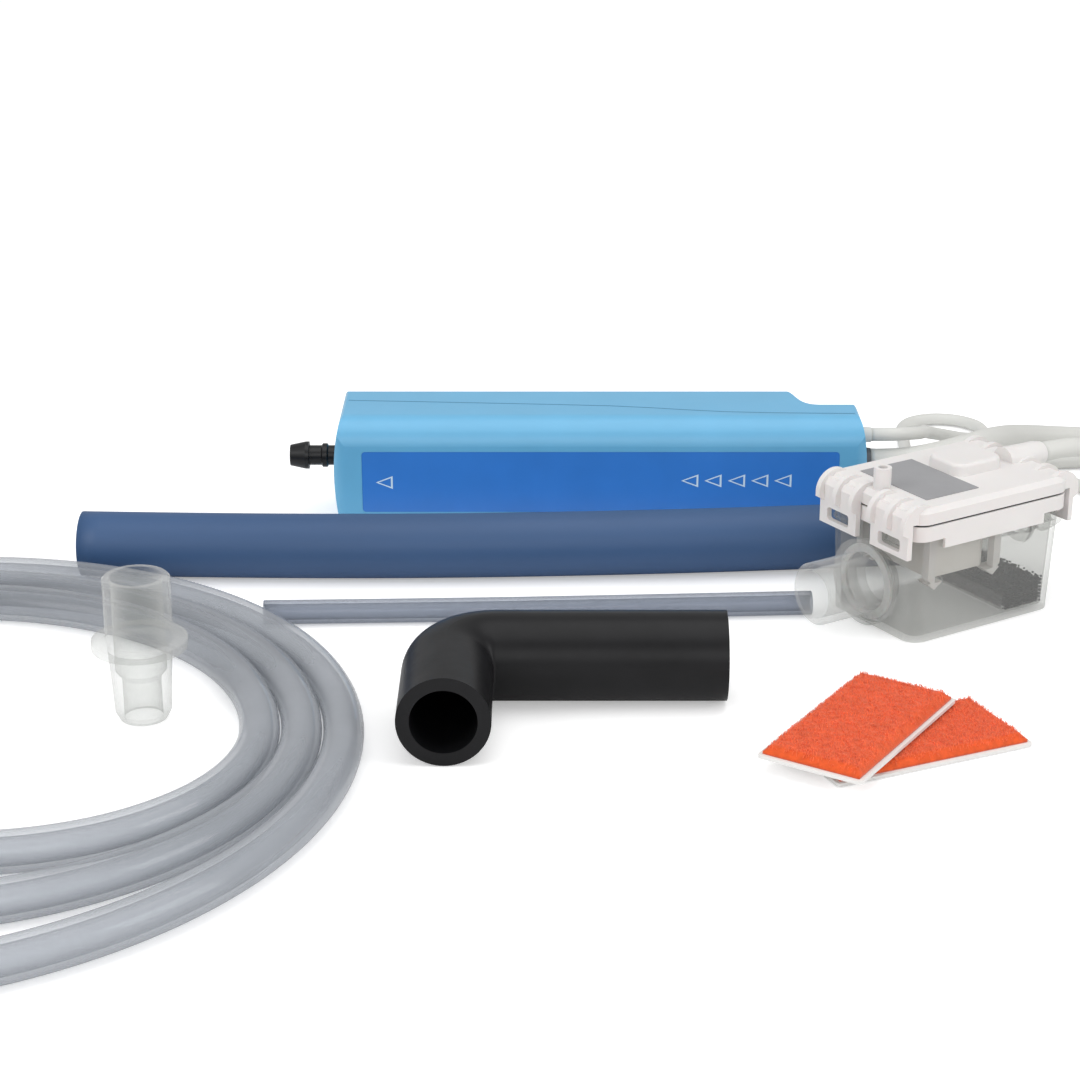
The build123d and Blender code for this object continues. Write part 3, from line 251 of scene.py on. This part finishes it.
node_looks = {
    body_blue: ["front_shell", "rear_shell"],
    label_blue: ["front_label"],
    barb_black: ["outlet_fitting", "inlet_fitting", "inlet_barb", "outlet_valve_seat"],
    seal_rubber: ["outlet_valve", "outlet_o_ring", "inlet_o_ring", "yoke_pads", "lid_seal"],
    seal_clear: ["spigot_seal"],
    plated_steel: ["shell_screws", "core_tube", "yoke", "piston"],
    spring_steel: ["outlet_valve_spring", "return_spring", "buffer_spring"],
    bobbin_nylon: ["solenoid_bobbin", "thermal_cutout"],
    copper: ["coil_winding"],
    silicone: ["inlet_tube"],
    board_green: ["control_board", "sensor_board"],
    gland_grey: ["mains_gland", "sensor_gland", "hall_sensor"],
    lead_white: ["alarm_gland", "mains_lead", "mains_coil", "sensor_lead", "sensor_coil",
                 "sensor_lead_end", "alarm_lead", "alarm_coil"],
    tank_clear: ["tank", "tank_outlet"],
    spigot_clear: ["inlet_spigot", "spare_spigot"],
    foam_black: ["filter_foam"],
    lid_white: ["lid_frame", "lid_cover", "lead_grommet"],
    label_grey: ["lid_label"],
    float_white: ["float_body"],
    ferrite: ["float_magnet"],
    hose_blue: ["drain_hose"],
    vinyl_clear: ["discharge_tube"],
    thin_clear: ["breather_tube"],
    elbow_black: ["elbow_hose"],
    backing_white: ["lower_backing", "upper_backing"],
    pad_orange: ["lower_pad", "upper_pad"],
    core_brown: ["mains_cores", "alarm_cores"],
}
for look, names in node_looks.items():
    for name in names:
        mesh = nodes[name].data
        mesh.materials.clear()
        mesh.materials.append(look)


def new_object(name, data, look, body="root"):
    piece = bpy.data.objects.new(name, data)
    scene.collection.objects.link(piece)
    if look is not None:
        data.materials.append(look)
    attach(piece, body)
    return piece


# ---------------------------------------------------------------- cords


def spline_curve(name, points):
    """Smooth NURBS line through the route's control points, in metres."""
    data = bpy.data.curves.new(name, "CURVE")
    data.dimensions = "3D"
    data.resolution_u = 12
    spline = data.splines.new("NURBS")
    spline.points.add(len(points) - 1)
    for point, place in zip(spline.points, points):
        point.co = (*place, 1.0)
    spline.order_u = 3
    spline.use_endpoint_u = True
    return data


def centreline(name, points):
    """Points read from the route's own NURBS line, and their length."""
    data = spline_curve(name + "_line", points)
    holder = bpy.data.objects.new(name + "_line", data)
    scene.collection.objects.link(holder)
    bpy.context.view_layer.update()
    mesh = bpy.data.meshes.new_from_object(holder.evaluated_get(bpy.context.evaluated_depsgraph_get()))
    line = [vertex.co.copy() for vertex in mesh.vertices]
    bpy.data.objects.remove(holder)
    bpy.data.meshes.remove(mesh)
    bpy.data.curves.remove(data)
    return line, sum((b - a).length for a, b in zip(line, line[1:]))


def tube_mesh(name, line, radius, bore=0.0, sides=32):
    """Tube round a line of points, hollow where bore is given."""
    mesh = bpy.data.meshes.new(name)
    build = bmesh.new()
    tangents = []
    for index in range(len(line)):
        ahead = line[min(index + 1, len(line) - 1)]
        behind = line[max(index - 1, 0)]
        tangents.append((ahead - behind).normalized())
    side = tangents[0].orthogonal().normalized()
    walls = [radius] + ([bore] if bore else [])
    rings = {wall: [] for wall in range(len(walls))}
    for index, (place, tangent) in enumerate(zip(line, tangents)):
        side = (side - tangent * side.dot(tangent)).normalized()
        up = tangent.cross(side)
        for wall, reach in enumerate(walls):
            spokes = [side * cos(2 * pi * k / sides) + up * sin(2 * pi * k / sides) for k in range(sides)]
            rings[wall].append([build.verts.new(place + spoke * reach) for spoke in spokes])
    for wall in rings:
        for first, second in zip(rings[wall], rings[wall][1:]):
            for k in range(sides):
                corners = (first[k], first[(k + 1) % sides], second[(k + 1) % sides], second[k])
                build.faces.new(corners if wall == 0 else corners[::-1])
    for index in (0, -1):
        if bore:
            outer, inner = rings[0][index], rings[1][index]
            for k in range(sides):
                corners = (outer[k], inner[k], inner[(k + 1) % sides], outer[(k + 1) % sides])
                build.faces.new(corners if index == 0 else corners[::-1])
        else:
            build.faces.new(rings[0][index][::-1] if index == 0 else rings[0][index])
    for face in build.faces:
        face.smooth = len(face.verts) == 4
    bmesh.ops.recalc_face_normals(build, faces=build.faces)
    build.to_mesh(mesh)
    build.free()
    return mesh


def mm(points):
    return [tuple(value / 1000.0 for value in point) for point in points]


def eased(x):
    x = min(1.0, max(0.0, x))
    return x * x * (3.0 - 2.0 * x)


LANE_CHANGE, FIRST_CHANGE, COME_DOWN, COIL_STEP, COIL_GAP = 55.0, 92.0, 30.0, 15.0, 0.1


def wound(centre, first_lane, lanes, pitch, start_angle, leave_angle, turn, diameter):
    """Control points of a flat two-layer coil, wound inwards on the floor and outwards on top.

    turn is 1 for anticlockwise. The last turn steps out past the outer lane and comes down."""
    low, high = diameter / 2, diameter * 1.5 + COIL_GAP
    leave = (turn * (leave_angle - start_angle)) % 360.0
    jog = leave - FIRST_CHANGE
    climb = jog + 360.0 * (lanes - 1)
    top = climb + LANE_CHANGE
    finish = top + 360.0 * (lanes - 1) + 360.0 + (leave - jog - LANE_CHANGE)
    landing = finish - leave + jog + LANE_CHANGE
    points = []
    count = int(finish / COIL_STEP)
    for step in range(1, count + 1):
        angle = finish * step / count
        if angle <= top:
            lane = sum(eased((angle - jog - 360.0 * k) / LANE_CHANGE) for k in range(lanes - 1))
            height = low + (high - low) * eased((angle - climb) / LANE_CHANGE)
        else:
            outward = sum(eased((angle - top - 360.0 * k + LANE_CHANGE) / LANE_CHANGE)
                          for k in range(1, lanes + 1))
            lane = lanes - 1 - outward
            height = high + (low - high) * eased((angle - landing) / COME_DOWN)
        reach = first_lane - pitch * lane
        bearing = radians(start_angle + turn * angle)
        points.append((centre[0] + reach * cos(bearing), centre[1] + reach * sin(bearing), height))
    return points


HALF_LENGTH = 72.5
TOP_Z = 31.0
GLAND_X = HALF_LENGTH + 1.5
FLOOR_MAINS, FLOOR_SENSOR, FLOOR_ALARM = 3.3, 2.5, 1.8

TANK_TURN = radians(32.3)
TANK_CENTRE = (85.0, -68.6)
LEAD_Z = 35.2
HOOD_END_U = 28.6


def tank_point(u, v, z):
    """Row place in millimetres of a point in the reservoir's own turned frame."""
    return (TANK_CENTRE[0] + u * cos(TANK_TURN) - v * sin(TANK_TURN),
            TANK_CENTRE[1] + u * sin(TANK_TURN) + v * cos(TANK_TURN), z)


mains_route = [
    (GLAND_X, -7.5, 17.5), (82.5, -7.5, 17.5), (90.7, -5.3, 18.2), (98.2, -1.3, 18.6),
    (104.5, 4.4, 18.4), (109.7, 11.3, 17.2), (114.3, 19.3, 15.2), (119.6, 27.6, 12.8),
    (126.4, 35.3, 10.2), (134.8, 42.0, 7.6), (144.6, 47.8, 5.3), (156.0, 52.0, 3.8),
    (168.5, 54.3, FLOOR_MAINS), (181.0, 54.6, FLOOR_MAINS),
]
mains_turns = wound((208.0, 96.0), 43.6, 3, 6.85, -108.0, 96.0, 1, 6.6)
mains_tail = [(201.0, 145.8, FLOOR_MAINS)]
mains_points = mm(mains_route + mains_turns + mains_tail)
mains_line, mains_length = centreline("mains", mains_points)
mains_flex = new_object("mains_flex", tube_mesh("mains_flex", mains_line, 0.0033, sides=20), lead_white)
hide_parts("mains_lead", "mains_coil")

sensor_route = [
    (69.0, 9.0, 13.0), (77.0, 9.0, 13.0), (85.0, 11.4, 11.0), (92.0, 17.3, 8.2), (98.7, 23.8, 5.6),
    (107.0, 29.5, 3.6), (117.5, 33.2, 2.7), (131.0, 35.5, FLOOR_SENSOR), (146.0, 37.0, FLOOR_SENSOR),
    (161.0, 38.2, FLOOR_SENSOR),
]
sensor_turns = wound((187.0, 6.0), 33.0, 3, 5.3, 110.0, -106.0, -1, 5.0)
sensor_points = mm(sensor_route + sensor_turns)
sensor_line, sensor_length = centreline("sensor", sensor_points)
sensor_flex = new_object("sensor_flex", tube_mesh("sensor_flex", sensor_line, 0.0025, sides=20), lead_white)
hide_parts("sensor_lead", "sensor_coil")

sensor_end_points = mm([
    tank_point(HOOD_END_U + 2.0, 0, LEAD_Z), tank_point(40.0, 0, LEAD_Z), tank_point(51.0, 0.6, 32.4),
    (136.6, -36.2, 27.0), (145.4, -31.2, 19.4), (154.5, -29.6, 11.8), (164.6, -30.0, 5.8),
    (177.0, -30.9, 3.0),
])
sensor_end_line, sensor_end_length = centreline("sensor_end", sensor_end_points)
sensor_flex_end = bpy.data.objects.new(
    "sensor_flex_end", tube_mesh("sensor_flex_end", sensor_end_line, 0.0025, sides=20))
sensor_flex_end.data.materials.append(lead_white)
scene.collection.objects.link(sensor_flex_end)
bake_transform(sensor_flex_end)
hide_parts("sensor_lead_end")

alarm_route = [
    (GLAND_X, -7.5, 25.0), (80.0, -7.5, 25.0), (85.3, -4.6, 24.4), (88.7, 0.6, 22.8), (90.6, 6.8, 21.0),
    (92.0, 14.5, 18.6), (93.5, 23.0, 15.8), (96.0, 32.0, 12.4), (101.0, 40.5, 9.0), (107.8, 48.0, 5.4),
    (114.4, 54.8, 2.6), (118.5, 61.6, FLOOR_ALARM), (117.8, 69.5, FLOOR_ALARM), (112.6, 75.5, FLOOR_ALARM),
    (104.9, 77.3, FLOOR_ALARM), (97.6, 74.2, FLOOR_ALARM), (93.5, 67.4, FLOOR_ALARM),
    (93.0, 57.5, FLOOR_ALARM), (92.2, 46.5, FLOOR_ALARM), (90.8, 35.5, FLOOR_ALARM),
    (89.9, 25.5, FLOOR_ALARM), (90.1, 17.3, FLOOR_ALARM), (92.6, 10.4, FLOOR_ALARM),
    (98.8, 6.0, FLOOR_ALARM), (106.4, 5.9, FLOOR_ALARM), (112.6, 10.2, FLOOR_ALARM),
    (116.5, 16.4, FLOOR_ALARM), (121.6, 21.7, FLOOR_ALARM), (128.9, 22.9, FLOOR_ALARM),
    (135.5, 19.5, FLOOR_ALARM), (138.9, 12.9, FLOOR_ALARM), (140.2, 4.0, FLOOR_ALARM),
    (141.3, -7.0, FLOOR_ALARM), (143.0, -21.0, FLOOR_ALARM), (146.6, -36.0, FLOOR_ALARM),
    (150.2, -49.0, FLOOR_ALARM),
]
alarm_turns = wound((178.0, -66.0), 25.6, 3, 3.9, 167.0, -65.0, 1, 3.6)
alarm_tail = [(190.0, -92.7, FLOOR_ALARM)]
alarm_points = mm(alarm_route + alarm_turns + alarm_tail)
alarm_line, alarm_length = centreline("alarm", alarm_points)
alarm_flex = new_object("alarm_flex", tube_mesh("alarm_flex", alarm_line, 0.0018, sides=16), lead_white)
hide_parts("alarm_lead", "alarm_coil")

hose_points = mm([
    (-135.4, -47.0, 8.4), (-93.0, -48.9, 8.4), (-44.0, -49.0, 8.4), (6.0, -46.6, 8.4), (46.0, -43.4, 8.4),
    (81.0, -39.5, 8.4),
])
hose_line, hose_length = centreline("hose", hose_points)
hose = new_object("hose", tube_mesh("hose", hose_line, 0.0084, 0.0069, 48), hose_blue)
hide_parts("drain_hose")

breather_points = mm([(-85.0, -80.6, 3.0), (-44.0, -79.4, 3.0), (0.0, -77.4, 3.0), (51.6, -74.4, 3.0)])
breather_line, breather_length = centreline("breather", breather_points)
breather = new_object("breather", tube_mesh("breather", breather_line, 0.003, 0.002, 32), thin_clear)
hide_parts("breather_tube")

RING_CENTRE, RING_REACH, RING_PITCH, RING_SPREAD = (-160.4, -159.8), 101.9, 9.35, 20.0
DISCHARGE_START, DISCHARGE_TURN = 262.0, 1020.0
discharge_points = []
for step in range(66):
    angle = DISCHARGE_TURN * step / 65
    bearing = (DISCHARGE_START + angle) % 360.0
    lane = sum(eased((angle - 230.0 - 360.0 * k) / 150.0) for k in range(2))
    apart = eased((bearing - 150.0) / 105.0) * eased((360.0 - bearing) / 100.0)
    reach = RING_REACH - (RING_PITCH + RING_SPREAD * apart) * lane
    discharge_points.append((RING_CENTRE[0] + reach * cos(radians(bearing)),
                             RING_CENTRE[1] + reach * sin(radians(bearing)), 4.5))
discharge_points = mm(discharge_points)
discharge_line, discharge_length = centreline("discharge", discharge_points)
discharge = new_object("discharge", tube_mesh("discharge", discharge_line, 0.0045, 0.003, 32), vinyl_clear)
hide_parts("discharge_tube")

# ---------------------------------------------------------------- foam, pads and small soft detail


def shell_of(name, build, look, smooth=True):
    """Object from a finished bmesh."""
    bmesh.ops.recalc_face_normals(build, faces=build.faces)
    for face in build.faces:
        face.smooth = smooth
    mesh = bpy.data.meshes.new(name)
    build.to_mesh(mesh)
    build.free()
    return new_object(name, mesh, look)


def grit(place, scale):
    """Steady noise from -1 to 1 at a place."""
    return noise.noise(Vector(place) * scale)


CRUMB_SPACING, CRUMB_RADIUS, CRUMB_SPREAD = 1.05, 0.50, 0.34
CRUMB_SHIFT, CRUMB_SINK = 0.25, 1.3
CORE_INSET, CORE_SHORTER, CORE_TALLER = 0.7, 1.9, 0.3


def own_box(name):
    """Low and high corner, in millimetres, of a reservoir node in the reservoir's own turned frame."""
    block = bpy.data.meshes.new_from_object(nodes[name])
    block.transform(nodes[name].matrix_world)
    centre = Vector((*TANK_CENTRE, 0)) / 1000
    local = [Matrix.Rotation(-TANK_TURN, 3, "Z") @ (vertex.co - centre) for vertex in block.vertices]
    bpy.data.meshes.remove(block)
    return ([min(place[axis] for place in local) * 1000 for axis in range(3)],
            [max(place[axis] for place in local) * 1000 for axis in range(3)])


def add_crumb(build, index, counts, low, high):
    """One irregular crumb of the foam's skin, in the cell with these three indices."""
    seed = (index[0] * 1.73, index[1] * 2.31, index[2] * 3.17)
    size = CRUMB_RADIUS + CRUMB_SPREAD * grit(seed, 1.9)
    place = []
    for axis, cell in enumerate(index):
        reach = high[axis] - low[axis] - 2 * size
        loose = cell not in (0, counts[axis])
        shift = CRUMB_SHIFT * grit((seed[0] + axis * 9.1, seed[1], seed[2]), 2.7) * loose
        place.append(low[axis] + size + reach * cell / counts[axis] + shift)
    if index[2] == counts[2]:
        place[2] -= CRUMB_SINK * abs(grit(seed, 0.9))
    spin_axis = Vector((0.3 + grit(seed, 1.1), 0.5, 0.7)).normalized()
    spin = Matrix.Rotation(3.0 * grit(seed, 3.3), 4, spin_axis)
    spot = Matrix.Translation(Vector(tank_point(*place)) / 1000)
    squeeze = Matrix.Diagonal((1.0, 0.7 + 0.3 * grit(seed, 5.0), 0.85, 1.0))
    bmesh.ops.create_icosphere(build, subdivisions=1, radius=size / 1000, matrix=spot @ spin @ squeeze)


def granules():
    """Filter of black open-cell foam: a skin of irregular crumbs round a core, in the block's box."""
    low, high = own_box("filter_foam")
    build = bmesh.new()
    counts = [max(2, int((high[axis] - low[axis]) / CRUMB_SPACING)) for axis in range(3)]
    for i in range(counts[0] + 1):
        for j in range(counts[1] + 1):
            for k in range(counts[2] + 1):
                if i in (0, counts[0]) or j in (0, counts[1]) or k == counts[2]:
                    add_crumb(build, (i, j, k), counts, low, high)
    for vertex in bmesh.ops.create_cube(build, size=1.0)["verts"]:
        inner = []
        for axis in range(3):
            reach = high[axis] - low[axis] - CORE_SHORTER + CORE_TALLER * (axis == 2)
            inner.append(low[axis] + CORE_INSET + reach * (vertex.co[axis] + 0.5))
        vertex.co = Vector(tank_point(*inner)) / 1000
    return shell_of("foam_bed", build, foam_black, smooth=False)


foam_bed = granules()
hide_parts("filter_foam")


PAD_LENGTH, PAD_WIDTH, PAD_MARGIN = 50.0, 25.0, 0.95
PILE_CELL, PILE_BEVEL, PILE_RIM_SHARE, PILE_GRAIN = 0.6, 1.5, 0.35, 0.16
LOOP_COUNT, LOOP_MARGIN, LOOP_HALF_WIDTH, LOOP_ROOT = 3000, 0.45, 0.055, 0.1
LOOP_REACH, LOOP_HEIGHT = (0.34, 0.16), (0.55, 0.45)


def pile_pad(name, place, turn, base, height, bulge):
    """Hook-and-loop pad: a low bed of pile, bevelled at its rim, with many small loops in it."""
    length, width = PAD_LENGTH - 2 * PAD_MARGIN, PAD_WIDTH - 2 * PAD_MARGIN
    across, along = int(length / PILE_CELL), int(width / PILE_CELL)
    pad_turn = Matrix.Rotation(radians(turn), 3, "Z")

    def spot(u, v, z):
        flat = pad_turn @ Vector((u, v, 0))
        return Vector((place[0] + flat.x, place[1] + flat.y, z)) / 1000

    def top(u, v):
        rim = min(length / 2 - abs(u), width / 2 - abs(v))
        rise = PILE_RIM_SHARE + (1.0 - PILE_RIM_SHARE) * eased(rim / PILE_BEVEL)
        hump = bulge * (1.0 - (2 * u / length) ** 2)
        grain = PILE_GRAIN * grit((u, v, base), 1.3) * eased(rim)
        return base + height * rise + hump * eased(rim / (2 * PILE_BEVEL)) + grain

    def cell(i, j):
        return -length / 2 + length * i / across, -width / 2 + width * j / along

    build = bmesh.new()
    grid = [[build.verts.new(spot(*cell(i, j), top(*cell(i, j)))) for j in range(along + 1)]
            for i in range(across + 1)]
    for i in range(across):
        for j in range(along):
            build.faces.new((grid[i][j], grid[i + 1][j], grid[i + 1][j + 1], grid[i][j + 1]))
    rim = ([(i, 0) for i in range(across)] + [(across, j) for j in range(along)]
           + [(i, along) for i in range(across, 0, -1)] + [(0, j) for j in range(along, 0, -1)])
    low_ring = [build.verts.new(spot(*cell(i, j), base)) for i, j in rim]
    for index, (i, j) in enumerate(rim):
        after = (index + 1) % len(rim)
        build.faces.new((grid[i][j], low_ring[index], low_ring[after], grid[rim[after][0]][rim[after][1]]))
    build.faces.new(low_ring)
    bed = shell_of(name, build, pad_orange)

    loops = bmesh.new()
    for index in range(LOOP_COUNT):
        stray = (grit((index * 0.731, 3.1, base), 1.0) + 1) % 1.0
        u = ((index * 0.6180339 + 0.13 * stray) % 1.0 - 0.5) * (length - 2 * LOOP_MARGIN)
        v = ((index * 0.7548777 + base) % 1.0 - 0.5) * (width - 2 * LOOP_MARGIN)
        lean = 12.56 * grit((index * 1.7, base, 5.5), 1.0)
        reach = LOOP_REACH[0] + LOOP_REACH[1] * grit((index * 2.9, 1.0, base), 1.0)
        tall = LOOP_HEIGHT[0] + LOOP_HEIGHT[1] * abs(grit((index * 4.3, 7.7, base), 1.0))
        side = (-LOOP_HALF_WIDTH * sin(lean), LOOP_HALF_WIDTH * cos(lean))
        foot = top(u, v) - LOOP_ROOT
        rows = []
        for part in range(5):
            out, rise = reach * (part / 2 - 1), tall * sin(pi * part / 4)
            cu, cv = u + out * cos(lean), v + out * sin(lean)
            rows.append((loops.verts.new(spot(cu - side[0], cv - side[1], foot + rise)),
                         loops.verts.new(spot(cu + side[0], cv + side[1], foot + rise))))
        for (a, b), (c, d) in zip(rows, rows[1:]):
            loops.faces.new((a, b, d, c))
    pile = shell_of(name + "_loops", loops, pad_pile)
    return bed, pile


BACKING = 0.8
PAD_STACK = 3.4
LOWER = ((65.3, -149.4), 24.0)
UPPER = ((54.5, -149.0), 57.5)
lower_bed, lower_pile = pile_pad("lower_pile", *LOWER, BACKING, 2.0, 0.0)
upper_bed, upper_pile = pile_pad("upper_pile", *UPPER, PAD_STACK + BACKING, 2.0, 0.35)
for bed, pile, node in ((lower_bed, lower_pile, "lower_pad"), (upper_bed, upper_pile, "upper_pad")):
    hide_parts(node)


def sprung(name):
    """Copy of a spring in spring steel, kept in its place, in place of the imported one, which is hidden."""
    mesh = bpy.data.meshes.new_from_object(nodes[name])
    mesh.transform(nodes[name].matrix_world)
    mesh.materials.clear()
    mesh.materials.append(spring_steel)
    coil = bpy.data.objects.new(name + "_live", mesh)
    scene.collection.objects.link(coil)
    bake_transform(coil)
    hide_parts(name)


sprung("outlet_valve_spring")
sprung("return_spring")
sprung("buffer_spring")


def strip(name, points, width, look):
    """Thin flat ribbon along level points."""
    build = bmesh.new()
    pairs = []
    for index, (x, y, z) in enumerate(points):
        ahead, behind = points[min(index + 1, len(points) - 1)], points[max(index - 1, 0)]
        along = Vector((ahead[0] - behind[0], ahead[1] - behind[1], 0)).normalized()
        out = Vector((-along.y, along.x, 0)) * width / 2
        pairs.append((build.verts.new((Vector((x, y, z)) - out) / 1000),
                      build.verts.new((Vector((x, y, z)) + out) / 1000)))
    for (a, b), (c, d) in zip(pairs, pairs[1:]):
        build.faces.new((a, b, d, c))
    return shell_of(name, build, look, smooth=False)


# Thin strip of painted shade along the parting line, standing in for the shaded groove between the two
# shells.
SEAM_LIFT, SEAM_WIDTH = 0.03, 0.4
seam_points = [(-69.4, 4.4), (-40.0, 2.5), (-15.0, 0.8), (3.0, -0.6), (14.0, -2.3), (24.0, -4.2),
               (34.0, -5.8),
               (46.0, -6.7), (58.0, -7.1), (69.4, -7.35)]
strip("parting_line", [(x, y, TOP_Z + SEAM_LIFT) for x, y in seam_points], SEAM_WIDTH, seam_painted_shade)

# ---------------------------------------------------------------- label print

PRINT_Y = -15.52


def flow_mark(name, left, right, low, high, stroke=0.45):
    """Printed outline of a triangle that points along the flow, on the front label."""
    mesh = bpy.data.meshes.new(name)
    middle = (low + high) / 2
    outer = [(left, middle), (right, high), (right, low)]
    centre = (left + (right - left) * 0.66, middle)
    inner = []
    for x, z in outer:
        away = sqrt((x - centre[0]) ** 2 + (z - centre[1]) ** 2)
        keep = (away - stroke * 1.7) / away
        inner.append((centre[0] + (x - centre[0]) * keep, centre[1] + (z - centre[1]) * keep))
    corners = [(x / 1000, PRINT_Y / 1000, z / 1000) for x, z in outer + inner]
    faces = [(k, (k + 1) % 3, 3 + (k + 1) % 3, 3 + k) for k in range(3)]
    mesh.from_pydata(corners, [], faces)
    return new_object(name, mesh, print_white)


flow_mark("flow_mark_0", -61.0, -56.4, 12.1, 15.8)
for index, left in enumerate((21.9, 28.2, 34.6, 40.9, 47.2)):
    flow_mark(f"flow_mark_{index + 1}", left, left + 4.7, 12.6, 16.3)

# ---------------------------------------------------------------- floor

floor_mesh = bpy.data.meshes.new("floor")
floor_mesh.from_pydata([(-6, -6, -0.0002), (6, -6, -0.0002), (6, 6, -0.0002), (-6, 6, -0.0002)], [],
                       [(0, 1, 2, 3)])
floor = bpy.data.objects.new("floor", floor_mesh)
scene.collection.objects.link(floor)
n = Nodes("floor_pale")
paper = n.add("ShaderNodeBsdfPrincipled")
paper.inputs["Base Color"].default_value = (0.9, 0.9, 0.9, 1.0)
paper.inputs["Roughness"].default_value = 0.9
glow = n.add("ShaderNodeEmission")
glow.inputs["Color"].default_value = (1.0, 1.0, 1.0, 1.0)
path = n.add("ShaderNodeLightPath")
lift = n.span(path.outputs["Is Camera Ray"], 0.0, 0.35)
n.link(lift, glow.inputs["Strength"])
both = n.add("ShaderNodeAddShader")
n.link(paper.outputs["BSDF"], both.inputs[0])
n.link(glow.outputs["Emission"], both.inputs[1])
n.link(both.outputs["Shader"], n.output.inputs["Surface"])
floor_mesh.materials.append(n.material)

world = bpy.data.worlds.new("studio")
scene.world = world
world.use_nodes = True
sky = world.node_tree.nodes["Background"]
sky.inputs["Color"].default_value = (1.0, 1.0, 1.0, 1.0)
sky.inputs["Strength"].default_value = 0.55
rays = world.node_tree.nodes.new("ShaderNodeLightPath")
seen = world.node_tree.nodes.new("ShaderNodeMapRange")
seen.inputs["To Min"].default_value = 0.55
seen.inputs["To Max"].default_value = 1.0
world.node_tree.links.new(rays.outputs["Is Camera Ray"], seen.inputs["Value"])
world.node_tree.links.new(seen.outputs["Result"], sky.inputs["Strength"])
